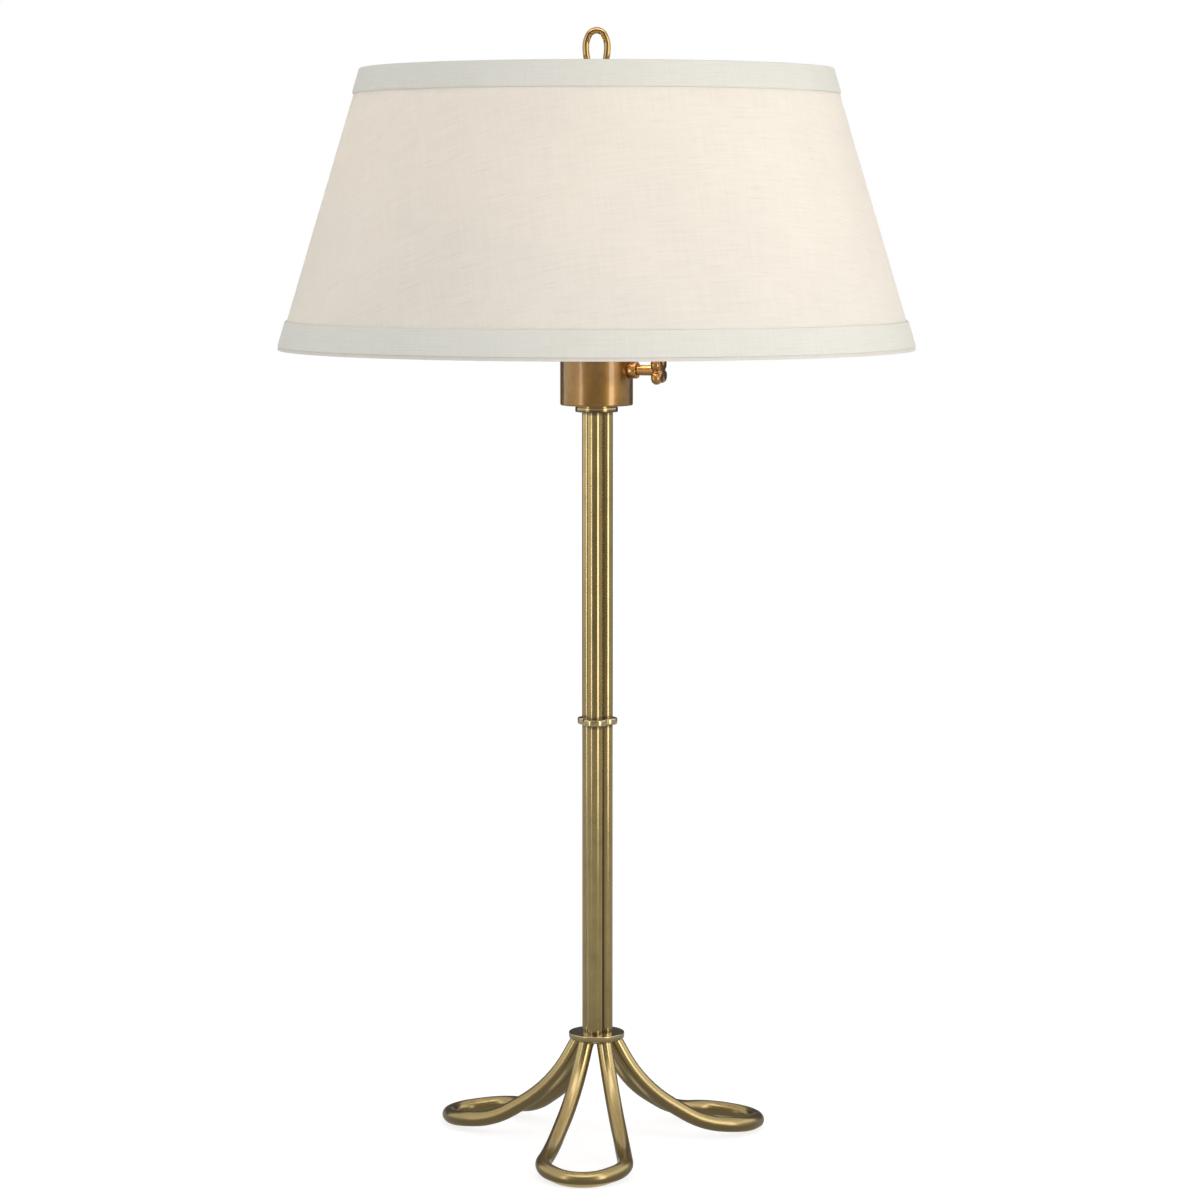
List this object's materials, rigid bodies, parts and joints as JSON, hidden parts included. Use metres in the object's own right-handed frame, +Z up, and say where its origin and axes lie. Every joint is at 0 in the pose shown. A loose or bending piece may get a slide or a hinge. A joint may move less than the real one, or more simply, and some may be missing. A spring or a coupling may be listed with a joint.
{
  "type": "table lamp",
  "caption": "Bouillotte table lamp: three bent-tube feet, slim tube stem, cup with a turning switch key, socket with bulb, harp, and a conical fabric shade under a loop finial.",
  "frame": {"origin": "centre of the shade's and stem's common axis at the floor", "axes": "+Z up along the stem, front foot towards -Y, switch key towards +X and a little towards -Y"},
  "size_m": [0.4571, 0.4572, 0.8103],
  "materials": {
    "brass_tube": "satin antique brass tube, lacquered",
    "brass_turned": "satin antique brass, turned",
    "brass_spun": "satin antique brass, spun",
    "brass_polished": "polished brass",
    "shade_fabric": "fine plain-weave linen",
    "shade_trim": "woven trim tape",
    "shade_hem": "bias tape",
    "shade_liner": "matt white styrene",
    "frame_wire": "white-enamelled steel wire",
    "harp_wire": "brass-plated steel wire",
    "steel": "zinc-plated steel",
    "socket_brass": "spun brass shell",
    "paper": "insulating fibre sleeve",
    "phenolic": "moulded phenolic",
    "glass": "frosted glass",
    "aluminium": "threaded cap",
    "rubber": "moulded bush"
  },
  "bodies": {
    "stand": {"foot_front": "brass_tube", "foot_right": "brass_tube", "foot_left": "brass_tube", "base_disc": "brass_turned", "base_boss": "brass_turned", "stem_tube_front": "brass_tube", "stem_tube_right": "brass_tube", "stem_tube_left": "brass_tube", "cord_bushing": "rubber", "mid_collar": "brass_turned", "neck_ring": "brass_turned", "neck_screws": "steel", "cup": "brass_spun", "cup_cover": "brass_spun", "stack_nipple": "steel", "lock_nut": "steel", "switch_housing": "phenolic", "switch_plate": "steel", "switch_contacts": "socket_brass", "switch_collar": "brass_turned", "harp_saddle": "harp_wire", "harp": "harp_wire", "socket_cap": "socket_brass", "socket_shell": "socket_brass", "socket_sleeve": "paper", "socket_base": "phenolic", "terminal_screws": "steel", "screw_shell": "aluminium", "centre_contact": "socket_brass", "bulb_contact": "phenolic", "bulb_cap": "aluminium", "bulb_glass": "glass"},
    "key": {"key_knob": "brass_turned", "switch_shaft": "steel", "switch_rotor": "phenolic"},
    "shade": {"shade_fabric": "shade_fabric", "shade_liner": "shade_liner", "shade_bottom_ring": "frame_wire", "shade_spider": "frame_wire", "spider_washer": "frame_wire", "shade_hem_tape": "shade_hem", "shade_bottom_trim": "shade_trim", "shade_top_trim": "shade_trim"},
    "finial": {"finial": "brass_polished"},
    "ferrule_left": {"ferrule_left": "harp_wire"},
    "ferrule_right": {"ferrule_right": "harp_wire"}
  },
  "joints": [
    {"name": "key_turn", "type": "hinge", "parent": "stand", "child": "key", "pos_m": [0.02965, -0.00906, 0.5667], "axis": [0.9563, -0.2924, 0], "continuous": true},
    {"name": "shade_turn", "type": "hinge", "parent": "stand", "child": "shade", "pos_m": [0, 0, 0.76], "axis": [0, 0, 1], "continuous": true},
    {"name": "finial_turn", "type": "hinge", "parent": "stand", "child": "finial", "pos_m": [0, 0, 0.7615], "axis": [0, 0, 1], "continuous": true},
    {"name": "ferrule_left_lift", "type": "slide", "parent": "stand", "child": "ferrule_left", "axis": [0, 0, 1], "range_m": [0, 0.01]},
    {"name": "ferrule_right_lift", "type": "slide", "parent": "stand", "child": "ferrule_right", "axis": [0, 0, 1], "range_m": [0, 0.01]}
  ]
}
